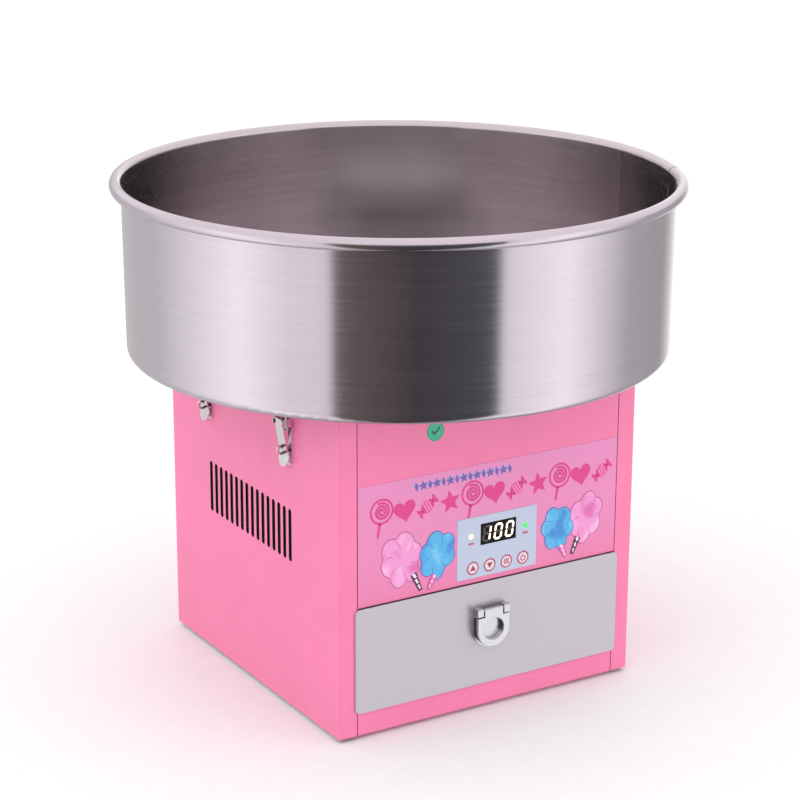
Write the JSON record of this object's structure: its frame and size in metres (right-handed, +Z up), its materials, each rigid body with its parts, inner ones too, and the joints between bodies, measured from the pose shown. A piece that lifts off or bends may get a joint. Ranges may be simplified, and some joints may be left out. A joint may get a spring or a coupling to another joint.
{
  "type": "cotton candy machine",
  "caption": "Counter-top machine with a wide steel bowl round a heated spinning sugar head, on a painted sheet-metal cabinet with keypad, drawer and toggle latches.",
  "frame": {"origin": "on the counter under the middle of the bowl", "axes": "+Z up; the front, with the keypad and the drawer, faces -Y; +X is on the right of someone who looks at the front"},
  "size_m": [0.52, 0.52, 0.463],
  "materials": {
    "pink_enamel": "semi-gloss powder coat",
    "bowl_steel": "brushed",
    "drawer_face_steel": "brushed",
    "folded_steel": "galvanised",
    "latch_steel": "pressed, bright",
    "fastener_steel": "bright",
    "pull_chrome": "polished",
    "shaft_steel": "turned",
    "cast_aluminium": "machined cast",
    "band_steel": "heat-tinted",
    "element_alloy": "oxidised",
    "ring_brass": "turned",
    "motor_paint": "satin",
    "carbon": "matt carbon",
    "insulator": "moulded phenolic",
    "fan_plastic": "moulded",
    "foot_rubber": "matt",
    "film_print": "printed film",
    "keypad_print": "printed film",
    "key_cap": "printed dome",
    "display_black": "smoked",
    "lamp_lens": "clear lens",
    "board_green": "solder mask",
    "black_plastic": "moulded",
    "wire_sleeve": "extruded"
  },
  "bodies": {
    "cabinet": {"base_tray": "folded_steel", "left_side_panel": "pink_enamel", "right_side_panel": "pink_enamel", "rear_panel": "pink_enamel", "front_panel": "pink_enamel", "top_plate": "folded_steel", "equipment_shelf": "folded_steel", "drawer_runners": "folded_steel", "rubber_feet": "foot_rubber", "cabinet_fasteners": "fastener_steel", "shaft_shroud": "folded_steel", "motor_plate": "folded_steel", "standoffs": "fastener_steel", "motor_housing": "motor_paint", "shaft_bearings": "shaft_steel", "brush_holders": "insulator", "carbon_brushes": "carbon", "control_board": "board_green", "display_module": "display_black", "indicator_leds": "lamp_lens", "graphic_overlay": "film_print", "keypad_overlay": "keypad_print", "power_board": "board_green", "power_inlet": "black_plastic", "rocker_frame": "black_plastic", "wiring_harness": "wire_sleeve", "latch_bases": "latch_steel"},
    "spinner": {"motor_shaft": "shaft_steel", "motor_rotor": "shaft_steel", "motor_fan": "fan_plastic", "slip_ring_hub": "insulator", "slip_rings": "ring_brass", "head_pan": "cast_aluminium", "heating_element": "element_alloy", "mesh_band": "band_steel", "head_lid": "cast_aluminium", "head_screws": "fastener_steel"},
    "bowl": {"bowl_pan": "bowl_steel", "bowl_wall": "bowl_steel", "bowl_rim": "bowl_steel", "bowl_catches": "latch_steel", "catch_rivets": "fastener_steel"},
    "drawer": {"drawer_box": "folded_steel", "drawer_front": "drawer_face_steel", "handle_backplate": "pull_chrome", "handle_pin": "pull_chrome"},
    "drawer_pull": {"handle_ring": "pull_chrome"},
    "rocker": {"power_rocker": "black_plastic"},
    "button_up_key": {"button_up": "key_cap"},
    "button_down_key": {"button_down": "key_cap"},
    "button_heat_key": {"button_heat": "key_cap"},
    "button_run_key": {"button_run": "key_cap"},
    "lever_left_front": {"latch_lever_left_front": "latch_steel"},
    "bail_left_front": {"latch_bail_left_front": "latch_steel"},
    "lever_left_rear": {"latch_lever_left_rear": "latch_steel"},
    "bail_left_rear": {"latch_bail_left_rear": "latch_steel"},
    "lever_right_front": {"latch_lever_right_front": "latch_steel"},
    "bail_right_front": {"latch_bail_right_front": "latch_steel"},
    "lever_right_rear": {"latch_lever_right_rear": "latch_steel"},
    "bail_right_rear": {"latch_bail_right_rear": "latch_steel"}
  },
  "joints": [
    {"name": "head_spin", "type": "hinge", "parent": "cabinet", "child": "spinner", "pos_m": [0, 0, 0.204], "axis": [0, 0, 1], "continuous": true},
    {"name": "bowl_lift", "type": "slide", "parent": "cabinet", "child": "bowl", "axis": [0, 0, 1], "range_m": [0, 0.12]},
    {"name": "drawer_slide", "type": "slide", "parent": "cabinet", "child": "drawer", "axis": [0, -1, 0], "range_m": [0, 0.2]},
    {"name": "pull_hinge", "type": "hinge", "parent": "drawer", "child": "drawer_pull", "pos_m": [-0.0016, -0.16595, 0.09795], "axis": [-1, 0, 0], "range_deg": [0, 90]},
    {"name": "power_rocker_tilt", "type": "hinge", "parent": "cabinet", "child": "rocker", "pos_m": [0.055, 0.156, 0.158], "axis": [-1, 0, 0], "range_deg": [0, 18]},
    {"name": "button_up_press", "type": "slide", "parent": "cabinet", "child": "button_up_key", "axis": [0, 1, 0], "range_m": [0, 0.0004], "stiffness_N_per_m": 1500, "springref_m": -0.0002},
    {"name": "button_down_press", "type": "slide", "parent": "cabinet", "child": "button_down_key", "axis": [0, 1, 0], "range_m": [0, 0.0004], "stiffness_N_per_m": 1500, "springref_m": -0.0002},
    {"name": "button_heat_press", "type": "slide", "parent": "cabinet", "child": "button_heat_key", "axis": [0, 1, 0], "range_m": [0, 0.0004], "stiffness_N_per_m": 1500, "springref_m": -0.0002},
    {"name": "button_run_press", "type": "slide", "parent": "cabinet", "child": "button_run_key", "axis": [0, 1, 0], "range_m": [0, 0.0004], "stiffness_N_per_m": 1500, "springref_m": -0.0002},
    {"name": "latch_lever_left_front_swing", "type": "hinge", "parent": "cabinet", "child": "lever_left_front", "pos_m": [-0.162, -0.0702, 0.273], "axis": [0, 1, 0], "range_deg": [0, 100]},
    {"name": "latch_bail_left_front_swing", "type": "hinge", "parent": "lever_left_front", "child": "bail_left_front", "pos_m": [-0.1602, -0.0702, 0.2676], "axis": [0, 1, 0], "range_deg": [-140, 0]},
    {"name": "latch_lever_left_rear_swing", "type": "hinge", "parent": "cabinet", "child": "lever_left_rear", "pos_m": [-0.162, 0.0823, 0.273], "axis": [0, 1, 0], "range_deg": [0, 100]},
    {"name": "latch_bail_left_rear_swing", "type": "hinge", "parent": "lever_left_rear", "child": "bail_left_rear", "pos_m": [-0.1602, 0.0823, 0.2676], "axis": [0, 1, 0], "range_deg": [-140, 0]},
    {"name": "latch_lever_right_front_swing", "type": "hinge", "parent": "cabinet", "child": "lever_right_front", "pos_m": [0.162, -0.0702, 0.273], "axis": [0, -1, 0], "range_deg": [0, 100]},
    {"name": "latch_bail_right_front_swing", "type": "hinge", "parent": "lever_right_front", "child": "bail_right_front", "pos_m": [0.1602, -0.0702, 0.2676], "axis": [0, -1, 0], "range_deg": [-140, 0]},
    {"name": "latch_lever_right_rear_swing", "type": "hinge", "parent": "cabinet", "child": "lever_right_rear", "pos_m": [0.162, 0.0823, 0.273], "axis": [0, -1, 0], "range_deg": [0, 100]},
    {"name": "latch_bail_right_rear_swing", "type": "hinge", "parent": "lever_right_rear", "child": "bail_right_rear", "pos_m": [0.1602, 0.0823, 0.2676], "axis": [0, -1, 0], "range_deg": [-140, 0]}
  ],
  "couplings": [
    {"joint": "latch_bail_left_front_swing", "follows": "latch_lever_left_front_swing", "ratio": -1.4},
    {"joint": "latch_bail_left_rear_swing", "follows": "latch_lever_left_rear_swing", "ratio": -1.4},
    {"joint": "latch_bail_right_front_swing", "follows": "latch_lever_right_front_swing", "ratio": -1.4},
    {"joint": "latch_bail_right_rear_swing", "follows": "latch_lever_right_rear_swing", "ratio": -1.4}
  ]
}
